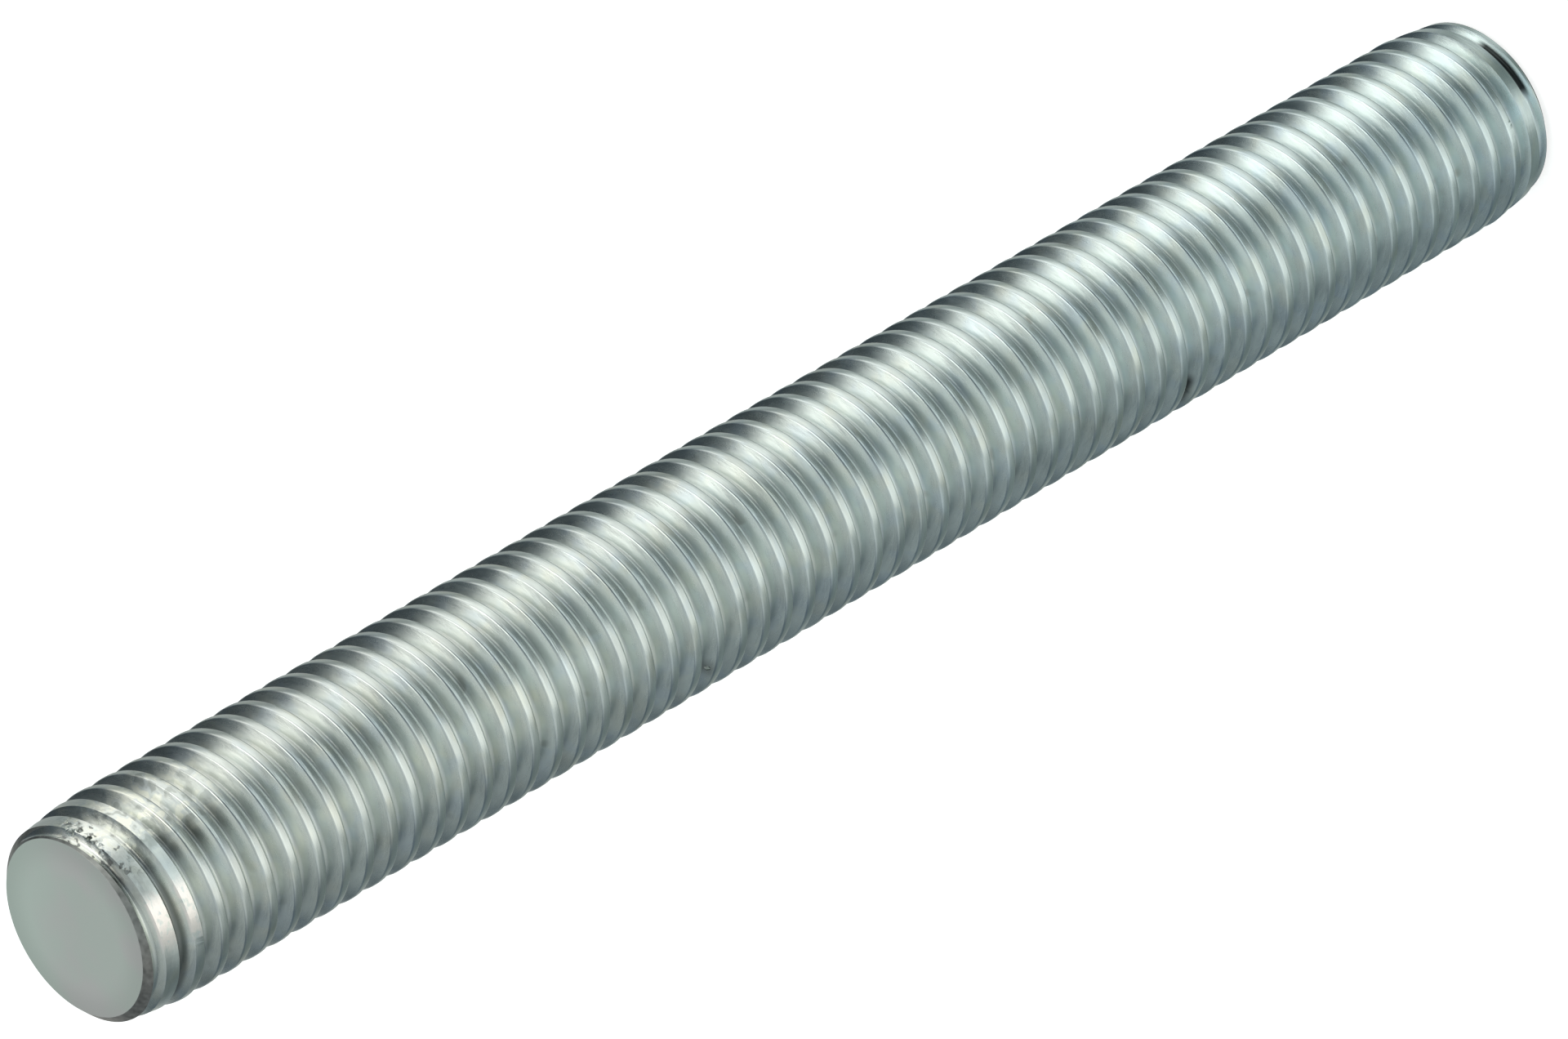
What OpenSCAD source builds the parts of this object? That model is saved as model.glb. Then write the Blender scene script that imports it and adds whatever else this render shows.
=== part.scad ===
// Threaded rod: a steel bar threaded over its whole length, with both ends cut square and chamfered.
// It stands on one end: +Z runs up its axis, and the origin is the centre of the bottom end face.
// The solid is the rod's outside over the thread crests, which is what holes and nuts are sized to.

/* [Rod] */
// Diameter over the thread crests
rod_d = 12; // [6:0.5:24]
// Length from end face to end face
rod_length = 110; // [40:1:300]

/* [Thread] */
// Pitch: the distance from one crest to the next
thread_pitch = 1.75; // [0.8:0.05:3]

/* [End chamfers] */
// Angle between each chamfer and the rod's axis
chamfer_angle = 45; // [30:1:60]
// Height above the thread's root at which each chamfer meets its end face
end_above_root = 0.15; // [0:0.05:0.4]

/* [Hidden] */

// Depth of an ISO metric thread, from crest to root, for each millimetre of pitch
ISO_DEPTH_PER_PITCH = 0.61343;

rod_r = rod_d / 2;
thread_depth = ISO_DEPTH_PER_PITCH * thread_pitch;

// The chamfers cut nearly all of the thread's depth away, so that the first turn starts from nothing.
end_face_r = rod_r - thread_depth + end_above_root;
chamfer_length = (rod_r - end_face_r) / tan(chamfer_angle);

// Half of the rod's lengthwise section, from the axis outwards
rod_section = [
    [0, 0],
    [end_face_r, 0],
    [rod_r, chamfer_length],
    [rod_r, rod_length - chamfer_length],
    [end_face_r, rod_length],
    [0, rod_length]
];

module threaded_rod() {
    color([0.68, 0.72, 0.70])
        rotate_extrude($fn = 96)
            polygon(rod_section);
}

threaded_rod();
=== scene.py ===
import math
import random
import bpy
from mathutils import Matrix, Vector


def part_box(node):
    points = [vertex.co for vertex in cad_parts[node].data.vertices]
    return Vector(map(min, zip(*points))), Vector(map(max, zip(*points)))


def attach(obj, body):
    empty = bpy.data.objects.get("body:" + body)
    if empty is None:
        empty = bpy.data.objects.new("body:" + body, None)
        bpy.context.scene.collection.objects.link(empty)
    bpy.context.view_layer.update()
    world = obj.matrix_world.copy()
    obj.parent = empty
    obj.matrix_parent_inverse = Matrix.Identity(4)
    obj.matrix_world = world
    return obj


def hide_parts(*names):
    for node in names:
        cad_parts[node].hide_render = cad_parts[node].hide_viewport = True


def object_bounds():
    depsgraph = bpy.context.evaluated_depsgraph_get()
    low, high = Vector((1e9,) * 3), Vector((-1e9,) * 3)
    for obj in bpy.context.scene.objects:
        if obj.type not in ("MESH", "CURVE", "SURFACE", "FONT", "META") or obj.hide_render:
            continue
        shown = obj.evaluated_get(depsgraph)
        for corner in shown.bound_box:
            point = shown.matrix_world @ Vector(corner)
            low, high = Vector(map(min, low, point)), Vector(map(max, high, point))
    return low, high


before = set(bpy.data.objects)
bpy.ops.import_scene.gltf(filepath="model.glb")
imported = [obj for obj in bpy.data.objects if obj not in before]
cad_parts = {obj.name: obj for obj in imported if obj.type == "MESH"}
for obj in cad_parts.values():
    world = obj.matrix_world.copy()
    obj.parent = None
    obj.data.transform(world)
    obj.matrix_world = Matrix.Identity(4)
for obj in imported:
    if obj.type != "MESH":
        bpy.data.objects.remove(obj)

cad_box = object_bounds()


# ---------------------------------------------------------------- threaded rod
# A length of mild steel bar with a coarse right-hand M12 thread rolled into it from end to end.
# Both ends are cropped square and chamfered, which leaves the last crests low and wide, and the
# whole is electroplated with bright zinc. It is one solid, so nothing is fixed to it.

rod_low, rod_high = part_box("threaded_rod")
rod_length = rod_high.z - rod_low.z
rolled_undersize = 0.995
crest_radius = rolled_undersize * (rod_high.x - rod_low.x) / 2
pitch = 0.00175
crest_flat = 0.3 * pitch
crest_edge = 0.00016
root_fillet = 0.14434 * pitch
flank_slope = math.radians(30)
groove_half = (pitch - crest_flat) / 2
root_radius = crest_radius - (groove_half - pitch / 8) / math.tan(flank_slope) - root_fillet / 2
steps_a_turn = 96
first_crest_depth = 0.52 * pitch
end_face_radius = 0.00507
lead_in_radius = 0.00556
lead_in_length = 0.0036


def draw_outline(name, points):
    """A chain of edges through (radius, height) points on XZ, drawn by extruding one vertex."""
    bpy.ops.object.select_all(action="DESELECT")
    bpy.ops.mesh.primitive_plane_add(size=pitch)
    outline = bpy.context.object
    outline.name = name
    bpy.ops.object.mode_set(mode="EDIT")
    bpy.ops.mesh.merge(type="CENTER")
    bpy.ops.transform.translate(value=(points[0][0], 0, points[0][1]))
    for here, there in zip(points, points[1:]):
        bpy.ops.mesh.extrude_region_move(
            TRANSFORM_OT_translate={"value": (there[0] - here[0], 0, there[1] - here[1])}
        )
    bpy.ops.object.mode_set(mode="OBJECT")
    return outline


def sweep_round(outline, rise, turns, steps):
    """Turns an outline about Z, rising by the same amount each turn, and welds what meets."""
    sweep = outline.modifiers.new("Sweep", "SCREW")
    sweep.screw_offset = rise
    sweep.iterations = turns
    sweep.steps = sweep.render_steps = steps
    bpy.ops.object.modifier_apply(modifier=sweep.name)
    bpy.ops.object.mode_set(mode="EDIT")
    bpy.ops.mesh.select_all(action="SELECT")
    bpy.ops.mesh.remove_doubles(threshold=0.000001)
    bpy.ops.object.mode_set(mode="OBJECT")


def arc(centre, radius, angles):
    """Points round a centre, with angles in degrees from the radial direction."""
    ways = [math.radians(a) for a in angles]
    return [(centre[0] + radius * math.cos(w), centre[1] + radius * math.sin(w)) for w in ways]


edge_centre = (crest_radius - crest_edge, crest_flat / 2 - crest_edge * math.tan(flank_slope))
upper_edge = arc(edge_centre, crest_edge, (0, 20, 40, 60))
root = arc((root_radius + root_fillet, pitch / 2), root_fillet, (240, 216, 192, 168, 144, 120))
lower_edge = [(radius, pitch - height) for radius, height in reversed(upper_edge)]
next_crest = (upper_edge[0][0], upper_edge[0][1] + pitch)
turns = math.ceil(rod_length / pitch) + 3
lowest_crest = rod_length - first_crest_depth - (turns - 2) * pitch
groove_outline = upper_edge + root + lower_edge + [next_crest]
one_turn = [(radius, lowest_crest + height) for radius, height in groove_outline]
rod = draw_outline("threaded_rod_body", one_turn)
sweep_round(rod, pitch, turns, steps_a_turn)

# crop both ends a little long, then turn them down to length with an end face, chamfer and lead-in
spare = pitch / 4
bpy.ops.object.mode_set(mode="EDIT")
for height, up in ((rod_low.z - spare, -1), (rod_high.z + spare, 1)):
    bpy.ops.mesh.select_all(action="SELECT")
    bpy.ops.mesh.bisect(
        plane_co=(0, 0, height), plane_no=(0, 0, up), threshold=1e-7, use_fill=True, clear_outer=True
    )
bpy.ops.mesh.select_all(action="SELECT")
bpy.ops.mesh.normals_make_consistent(inside=False)
bpy.ops.object.mode_set(mode="OBJECT")

clear_radius = crest_radius + spare
chamfer_reach = lead_in_radius - end_face_radius
lead_in_slope = (crest_radius - lead_in_radius) / (lead_in_length - chamfer_reach)
lead_in_reach = lead_in_length + (clear_radius - crest_radius) / lead_in_slope
turned = draw_outline("turning_limits", [
    (0, rod_low.z),
    (end_face_radius, rod_low.z),
    (lead_in_radius, rod_low.z + chamfer_reach),
    (clear_radius, rod_low.z + lead_in_reach),
    (clear_radius, rod_high.z - lead_in_reach),
    (lead_in_radius, rod_high.z - chamfer_reach),
    (end_face_radius, rod_high.z),
    (0, rod_high.z),
])
sweep_round(turned, 0, 1, 2 * steps_a_turn)
bpy.ops.object.mode_set(mode="EDIT")
bpy.ops.mesh.select_all(action="SELECT")
bpy.ops.mesh.normals_make_consistent(inside=False)
bpy.ops.object.mode_set(mode="OBJECT")

trim = rod.modifiers.new("Turn the ends", "BOOLEAN")
trim.operation = "INTERSECT"
trim.solver = "MANIFOLD"
trim.object = turned
bpy.ops.object.select_all(action="DESELECT")
bpy.context.view_layer.objects.active = rod
rod.select_set(True)
bpy.ops.object.modifier_apply(modifier=trim.name)
bpy.data.objects.remove(turned)


def point_on_thread(azimuth, radius, crests):
    """Azimuth in degrees, 0 at -Y and 90 at +X, and how many crests down from the first one."""
    a = math.radians(azimuth)
    height = rod_high.z - first_crest_depth - (crests + 0.25 - azimuth / 360) * pitch
    return Vector((radius * math.sin(a), -radius * math.cos(a), height))


def chip(place, size, turn):
    """Knocks a small angular dent out of the rod, with half its width as its size."""
    bpy.ops.object.select_all(action="DESELECT")
    bpy.ops.mesh.primitive_ico_sphere_add(subdivisions=1, radius=size, location=place, rotation=turn)
    lump = bpy.context.object
    cut = rod.modifiers.new("Chip", "BOOLEAN")
    cut.operation = "DIFFERENCE"
    cut.solver = "MANIFOLD"
    cut.object = lump
    bpy.context.view_layer.objects.active = rod
    bpy.ops.object.modifier_apply(modifier=cut.name)
    bpy.data.objects.remove(lump)


# two knocks on the flanks: azimuth, crests down, and the half width in degrees and the darkness
# that the finish paints over each, dent and all
knocks = ((-73, 44.61, 13, 0.88), (-64, 22.7, 5, 0.5))
knock_radius = 0.0056
knock_size = 0.00022
for azimuth, crests, spread, darkness in knocks:
    chip(point_on_thread(azimuth, knock_radius, crests), knock_size, (0.4, 0.2, 0.9))

# a ragged start of the thread at the top end
luck = random.Random(4)
for azimuth in range(8, 64, 4):
    ragged = point_on_thread(azimuth, luck.uniform(0.0055, 0.0058), 0)
    ragged.z = rod_high.z - luck.uniform(0.0004, 0.0010)
    chip(ragged, luck.uniform(0.00016, 0.00034), [luck.uniform(0, 3) for axis in "XYZ"])
rod.select_set(True)
bpy.ops.object.shade_smooth_by_angle(angle=math.radians(32))


class Wire:
    """An output socket of a node. Arithmetic on wires adds Math nodes."""

    def __init__(self, socket):
        self.socket = socket

    def math(self, operation, *values):
        tree = self.socket.id_data
        step = tree.nodes.new("ShaderNodeMath")
        step.operation = operation
        for entry, value in zip(step.inputs, values):
            if isinstance(value, Wire):
                tree.links.new(value.socket, entry)
            else:
                entry.default_value = value
        return Wire(step.outputs[0])

    def __add__(self, other):
        return self.math("ADD", self, other)

    def __radd__(self, other):
        return self.math("ADD", other, self)

    def __sub__(self, other):
        return self.math("SUBTRACT", self, other)

    def __rsub__(self, other):
        return self.math("SUBTRACT", other, self)

    def __mul__(self, other):
        return self.math("MULTIPLY", self, other)

    def __rmul__(self, other):
        return self.math("MULTIPLY", other, self)

    def least(self, other):
        return self.math("MINIMUM", self, other)

    def size(self):
        return self.math("ABSOLUTE", self)

    def root(self):
        return self.math("SQRT", self)


class Finish:
    """The node tree of a material or a world, with one method that adds any node."""

    def __init__(self, owner):
        self.owner = owner
        owner.use_nodes = True
        self.tree = owner.node_tree
        self.tree.nodes.clear()

    def node(self, kind, settings={}, inputs={}):
        step = self.tree.nodes.new("ShaderNode" + kind)
        for key, value in settings.items():
            setattr(step, key, value)
        for key, value in inputs.items():
            if isinstance(value, Wire):
                self.tree.links.new(value.socket, step.inputs[key])
            else:
                step.inputs[key].default_value = value
        return step

    def wire(self, kind, settings={}, inputs={}, output=0):
        return Wire(self.node(kind, settings, inputs).outputs[output])

    def step(self, value, low, high):
        """0 where value is under low, 1 over high, and smooth between."""
        smooth = {"interpolation_type": "SMOOTHSTEP"}
        return self.wire("MapRange", smooth, {0: value, 1: low, 2: high})

    def band(self, value, low, high, blur):
        """1 where value is between low and high, 0 outside, and smooth over the blur at each end."""
        over = self.step(value, low - blur, low + blur)
        return over * (1 - self.step(value, high - blur, high + blur))

    def mix(self, amount, one, other):
        """The one colour where amount is 0, and the other where it is 1."""
        return self.wire("Mix", {"data_type": "RGBA"}, {0: amount, 6: one, 7: other}, 2)

    def shade(self, colour, amount):
        """A colour times a number."""
        return self.wire("VectorMath", {"operation": "SCALE"}, {0: colour, "Scale": amount})

    def cloud(self, place, scale, stretch=(1, 1, 1), shift=(0, 0, 0), detail=2.0):
        """Soft noise from 0 to 1 with about `scale` patches a metre, squeezed by `stretch`."""
        moved = self.wire("Mapping", {}, {"Vector": place, "Location": shift, "Scale": stretch})
        return self.wire("TexNoise", {}, {"Vector": moved, "Scale": scale, "Detail": detail})


def zinc_plate():
    zinc = Finish(bpy.data.materials.new("zinc_plate"))
    place = zinc.wire("TexCoord", output="Object")
    split = zinc.node("SeparateXYZ", {}, {0: place})
    across, deep, height = (Wire(split.outputs[axis]) for axis in "XYZ")
    radius = (across * across + deep * deep).root()
    from_end = (rod_high.z - height).least(height - rod_low.z)

    # where the surface is: crest lands, groove bottoms, chamfers and end faces
    chamfer_line = end_face_radius + from_end
    lead_in_line = lead_in_radius + (from_end - chamfer_reach) * lead_in_slope
    outside = chamfer_line.least(lead_in_line).least(crest_radius)
    below_crest = outside - radius
    crest = 1 - zinc.step(below_crest, 0.00002, 0.00014)
    groove = zinc.step(below_crest, 0.0001, 0.0009)
    face = 1 - zinc.step(from_end, 0.000002, 0.00002)
    chamfer = 1 - zinc.step((chamfer_line - radius).size(), 0.00001, 0.00003)
    chamfer = chamfer * (1 - zinc.step(radius, lead_in_radius - 0.00001, lead_in_radius + 0.00001))
    chamfer = chamfer * (1 - face)

    # brightness and tint wander from thread to thread, and the rod is bluer towards the foot
    patches = zinc.cloud(place, 420, (1, 1, 2.6), (0.3, 0.1, 0.7))
    blue = zinc.step(zinc.cloud(place, 560, (1, 1, 1.6), (1.1, 0.4, 0.2)), 0.5, 0.68)
    warm = zinc.step(zinc.cloud(place, 480, (1, 1, 1.6), (0.2, 1.7, 0.9)), 0.52, 0.7)
    streaks = zinc.cloud(place, 900, (1, 1, 9), (0.5, 0.5, 0.5), 3.0)
    grain = zinc.cloud(place, 7000, detail=3.0)

    # the crest lands are a touch paler and bluer than the flanks, and the grooves are painted up to
    # 6% darker the deeper they go, as painted shade
    plate = zinc.mix(crest, (0.70, 0.76, 0.74, 1), (0.72, 0.78, 0.78, 1))
    plate = zinc.mix(blue * 0.6, plate, (0.64, 0.72, 0.77, 1))
    plate = zinc.mix(warm * 0.5, plate, (0.76, 0.78, 0.70, 1))
    plate = zinc.shade(plate, (1 - 0.06 * groove) * (0.70 + 0.60 * patches))
    plate = zinc.shade(plate, 0.94 + 0.12 * streaks)
    up_the_rod = (height - rod_low.z) * (1 / rod_length)
    cast = zinc.mix(up_the_rod, (0.945, 1.01, 1.03, 1), (1.035, 1.0, 0.97, 1))
    plate = zinc.wire("VectorMath", {"operation": "MULTIPLY"}, {0: plate, 1: cast})
    plate_roughness = 0.26 + 0.08 * groove - 0.03 * crest
    plate_roughness = plate_roughness + 0.1 * (streaks - 0.5) + 0.12 * (patches - 0.5)

    # a few dull spots where the plating is thin in the groove
    thin = zinc.step(zinc.cloud(place, 620, (1, 1, 1.3), (0.6, 0.8, 0.1), 1.0), 0.66, 0.76)
    plate = zinc.mix(thin * groove * 0.75, plate, (0.42, 0.44, 0.40, 1))

    # the first turns at the top have crests painted near white, partly rubbed wear and partly
    # painted highlight, and painted shade in the first groove and in dark wedges further down; the
    # start of the thread has a band of painted shade and is torn, and the turns beside it are
    # mottled with pale and dark specks
    azimuth = across.math("ARCTAN2", across, 0 - deep) * math.degrees(1)
    below_top = rod_high.z - height
    down_thread = below_top + azimuth * (pitch / 360) - first_crest_depth - pitch / 4
    flecks = zinc.cloud(place, 2400, (1, 1, 1.5), (0.7, 0.2, 0.4), 1.0)
    wear_and_painted_highlight = zinc.band(azimuth, -36, -6, 6) * (1 - zinc.step(below_top, 0.0028, 0.0048))
    wear_and_painted_highlight = wear_and_painted_highlight * (1 - zinc.step(below_crest, 0.00004, 0.0002)) * zinc.step(flecks, 0.3, 0.5)
    # painted shade in the first groove, on the lower side
    painted_shade_first_groove = zinc.band(down_thread, 0.2 * pitch, 0.8 * pitch, 0.1 * pitch)
    painted_shade_first_groove = painted_shade_first_groove * zinc.band(azimuth, -95, 2, 13) * zinc.step(below_crest, 0.0002, 0.0005)
    # painted shade: dark wedges in the grooves of the first turns
    painted_shade_wedges = zinc.band(azimuth, 5, 23, 6) * (1 - zinc.step(below_top, 0.006, 0.010))
    painted_shade_wedges = painted_shade_wedges * zinc.step(below_crest, 0.00015, 0.0004)
    # painted shade: a darker band over the start of the thread
    painted_shade_start = zinc.band(azimuth, -7, 26, 7) * (1 - zinc.step(below_top, 0.0013, 0.0022)) * (1 - face)
    torn = zinc.band(azimuth, 8, 62, 6) * (1 - zinc.step(below_top, 0.0010, 0.0034)) * (1 - face)
    specks = zinc.cloud(place, 1300, (1, 1, 1.3), (0.4, 0.9, 0.3), 1.5)
    mottled = zinc.band(azimuth, 14, 66, 8) * (1 - zinc.step(below_top, 0.005, 0.011))
    pale_specks = zinc.step(specks, 0.5, 0.58)
    dark_specks = 1 - zinc.step(specks, 0.38, 0.46)
    plate = zinc.mix(mottled * pale_specks * 0.85, plate, (0.95, 0.96, 0.86, 1))
    plate = zinc.mix(mottled * dark_specks * 0.7, plate, (0.42, 0.45, 0.42, 1))
    # the crests at the top are painted near white where their highlight falls: partly rubbed wear,
    # partly painted highlight
    plate = zinc.mix(wear_and_painted_highlight, plate, (0.96, 0.89, 0.85, 1))
    plate = zinc.mix(torn * zinc.step(flecks, 0.5, 0.56), plate, (0.92, 0.94, 0.9, 1))
    plate = zinc.mix(torn * (1 - zinc.step(flecks, 0.36, 0.42)), plate, (0.3, 0.31, 0.3, 1))

    # the last groove at the foot has painted shade on one side, and the two knocks are painted dark
    painted_shade_slit = zinc.band(down_thread, 61.12 * pitch, 61.76 * pitch, 0.06 * pitch)
    painted_shade_slit = painted_shade_slit * zinc.band(azimuth, -6, 37, 5) * zinc.step(below_crest, 0.0001, 0.0003)
    painted_shade_and_marks = painted_shade_first_groove * 0.6 + painted_shade_slit * 0.95 + painted_shade_wedges * 0.4 + painted_shade_start * (0.15 + 0.4 * flecks)
    knock_darkening_reach = 0.14 * pitch
    for middle, crests, spread, darkness in knocks:
        knock_darkening = zinc.band(azimuth, middle - spread, middle + spread, 5)
        down = crests * pitch
        knock_darkening = knock_darkening * zinc.band(down_thread, down - knock_darkening_reach, down + knock_darkening_reach, 0.08 * pitch)
        painted_shade_and_marks = painted_shade_and_marks + darkness * knock_darkening
    plate = zinc.shade(plate, 1 - painted_shade_and_marks.least(0.93))

    # the end faces are matt, greener on one side and dimmer at the rim, and the chamfers are
    # darker and blotchy
    bloom = zinc.cloud(place, 260, shift=(0.9, 0.3, 0.6))
    sawn = zinc.mix(zinc.step(bloom, 0.42, 0.62), (0.52, 0.565, 0.54, 1), (0.545, 0.545, 0.545, 1))
    greener = zinc.step(across + deep, -0.001, 0.0065)
    sawn = zinc.mix(greener * 0.85, sawn, (0.55, 0.63, 0.59, 1))
    sawn = zinc.shade(sawn, 1 - 0.12 * zinc.step(radius, 0.0032, 0.0051))
    cooler = zinc.step(across, -0.0045, -0.001)
    turned_edge = zinc.mix(cooler, (0.36, 0.34, 0.32, 1), (0.30, 0.31, 0.30, 1))
    turned_edge = zinc.shade(turned_edge, 0.4 + 1.2 * flecks)

    colour = zinc.mix(chamfer, zinc.mix(face, plate, sawn), turned_edge)
    roughness = plate_roughness * (1 - face) * (1 - chamfer) + 0.5 * face + 0.45 * chamfer
    relief = patches * 0.5 + streaks * 0.35 + grain * 0.05
    bump = zinc.wire("Bump", {}, {"Strength": 1.0, "Distance": 0.000023, "Height": relief})
    shader = zinc.wire("BsdfPrincipled", {}, {
        "Base Color": colour, "Metallic": 1.0, "Roughness": roughness, "Normal": bump,
    })
    zinc.node("OutputMaterial", {}, {"Surface": shader})
    return zinc.owner


rod.data.materials.clear()
rod.data.materials.append(zinc_plate())

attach(rod, "root")
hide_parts("threaded_rod")


# ---------------------------------------------------------------- studio
# A plain white table top that the rod stands on, lit by large soft-edged panels far off. Some reach
# below the table top, so it neither shades the rod nor shows in its reflections.

table_size = 12
gap_under_rod = 0.00002
bpy.ops.object.select_all(action="DESELECT")
bpy.ops.mesh.primitive_plane_add(size=table_size, location=(0, 0, -gap_under_rod))
floor = bpy.context.object
floor.name = "floor"
table = Finish(bpy.data.materials.new("white_table"))
table_shader = table.wire("BsdfPrincipled", {}, {
    "Base Color": (0.9, 0.9, 0.9, 1), "Roughness": 0.8,
    "Emission Color": (1, 1, 1, 1), "Emission Strength": 0.7,
})
table.node("OutputMaterial", {}, {"Surface": table_shader})
floor.data.materials.append(table.owner)
floor.visible_glossy = False
floor.visible_shadow = False

air = Finish(bpy.data.worlds.new("studio"))
bpy.context.scene.world = air.owner
toward = air.wire("TexCoord", output="Generated")


def panel(azimuth, elevation, half_width, half_height):
    """1 towards a soft-edged oval far off, 0 elsewhere. Azimuth 0 is the camera's side, 90 is +X."""
    a, e = math.radians(azimuth), math.radians(elevation)
    away = Vector((math.sin(a) * math.cos(e), -math.cos(a) * math.cos(e), math.sin(e)))
    turned = air.wire("Mapping", {"vector_type": "TEXTURE"}, {
        "Vector": toward,
        "Rotation": away.to_track_quat("Z", "Y").to_euler(),
        "Scale": (math.sin(math.radians(half_width)), math.sin(math.radians(half_height)), 1),
    })
    split = air.node("SeparateXYZ", {}, {0: turned})
    x, y, z = (Wire(split.outputs[axis]) for axis in "XYZ")
    return (1 - air.step((x * x + y * y).root(), 0.6, 1.4)) * z.math("GREATER_THAN", z, 0)


def lit(light, colour, amount):
    """The light with a panel's colour added."""
    return air.wire("VectorMath", {"operation": "ADD"}, {0: light, 1: air.shade(colour, amount)})


height = Wire(air.node("SeparateXYZ", {}, {0: toward}).outputs["Z"])
below = height.least(0).size()
light = air.mix(below, (0.10, 0.13, 0.15, 1), (0.20, 0.24, 0.22, 1))

# a dark wall behind, then the panels: two big ones at the sides, a low one at the left and one in
# front, a bright one high at the right, a strip overhead, and three behind
warm_white = (1, 0.98, 0.92)
green_white = (0.97, 1, 0.94)
cool_white = (0.92, 1, 0.99)
light = air.shade(light, 1 - 0.6 * panel(150, 20, 40, 25))
light = lit(light, warm_white, 0.95 * panel(75, -5, 28, 45))
light = lit(light, green_white, 0.45 * panel(-45, 15, 40, 55))
light = lit(light, warm_white, 0.55 * panel(-30, -35, 18, 35))
light = lit(light, cool_white, 0.75 * panel(15, -20, 35, 10))
light = lit(light, warm_white, 1.6 * panel(65, 50, 25, 12))
light = lit(light, green_white, 0.4 * panel(-45, 80, 60, 15))
light = lit(light, green_white, 0.95 * panel(180, 40, 20, 25))
light = lit(light, warm_white, 0.2 * panel(165, -40, 40, 25))
light = lit(light, warm_white, 0.4 * panel(180, -10, 30, 20))
seen = Wire(air.node("LightPath").outputs["Is Camera Ray"])
light = air.mix(seen, light, (0.85, 0.85, 0.85, 1))
air.node("OutputWorld", {}, {"Surface": air.wire("Background", {}, {"Color": light})})


# ---------------------------------------------------------------- camera
# A long lens that looks down on the rod's middle from the front. It is rolled round its own axis,
# so that the standing rod crosses the picture from corner to corner.

camera_elevation = 37
camera_roll = 120.25
camera_distance = 0.6582
camera_right = -0.00148
camera_up = -0.00114
lens = bpy.data.cameras.new("camera")
lens.lens = 279.4
lens.sensor_width = 36
lens.clip_start = 0.05
lens.clip_end = 50
camera = bpy.data.objects.new("camera", lens)
bpy.context.scene.collection.objects.link(camera)
bpy.context.scene.camera = camera
rod_middle = (cad_box[0] + cad_box[1]) / 2
tilt = Matrix.Rotation(math.radians(90 - camera_elevation), 4, "X")
aim = tilt @ Matrix.Rotation(math.radians(-camera_roll), 4, "Z")
offset = Matrix.Translation((camera_right, camera_up, camera_distance))
camera.matrix_world = Matrix.Translation(rod_middle) @ aim @ offset
bpy.context.scene.view_settings.view_transform = "Standard"
